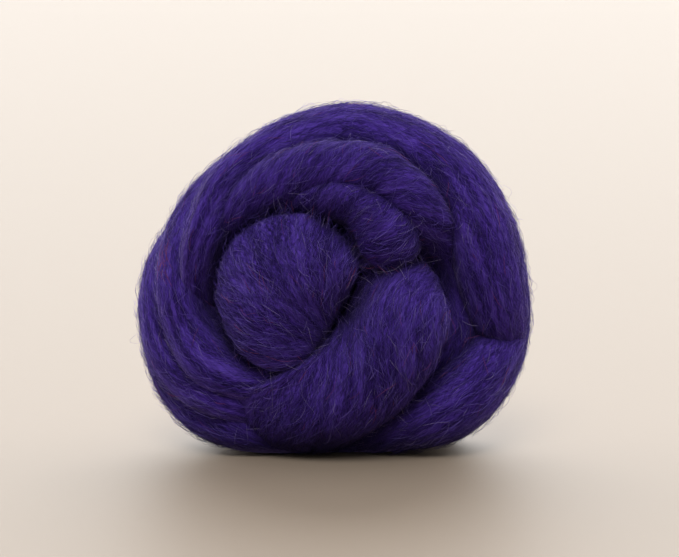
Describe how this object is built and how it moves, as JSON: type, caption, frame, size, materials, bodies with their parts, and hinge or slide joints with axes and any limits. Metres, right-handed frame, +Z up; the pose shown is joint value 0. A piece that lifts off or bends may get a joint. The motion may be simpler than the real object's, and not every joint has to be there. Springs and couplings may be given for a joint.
{
  "type": "wool roving ball",
  "caption": "Thick untwisted strand of dyed combed wool, coiled and tucked into a flattened round ball that stands on its rim",
  "frame": {"origin": "on the table, under the middle of the ball's box", "axes": "+Z up, +X across the face to the viewer's right, +Y from the face to the back along the winding axis"},
  "size_m": [0.1052, 0.0696, 0.0927],
  "materials": {
    "dyed_wool": "matt dyed wool, combed parallel fibres with a soft sheen and loose hairs"
  },
  "bodies": {
    "root": {"roving_ball": "dyed_wool"}
  },
  "joints": []
}
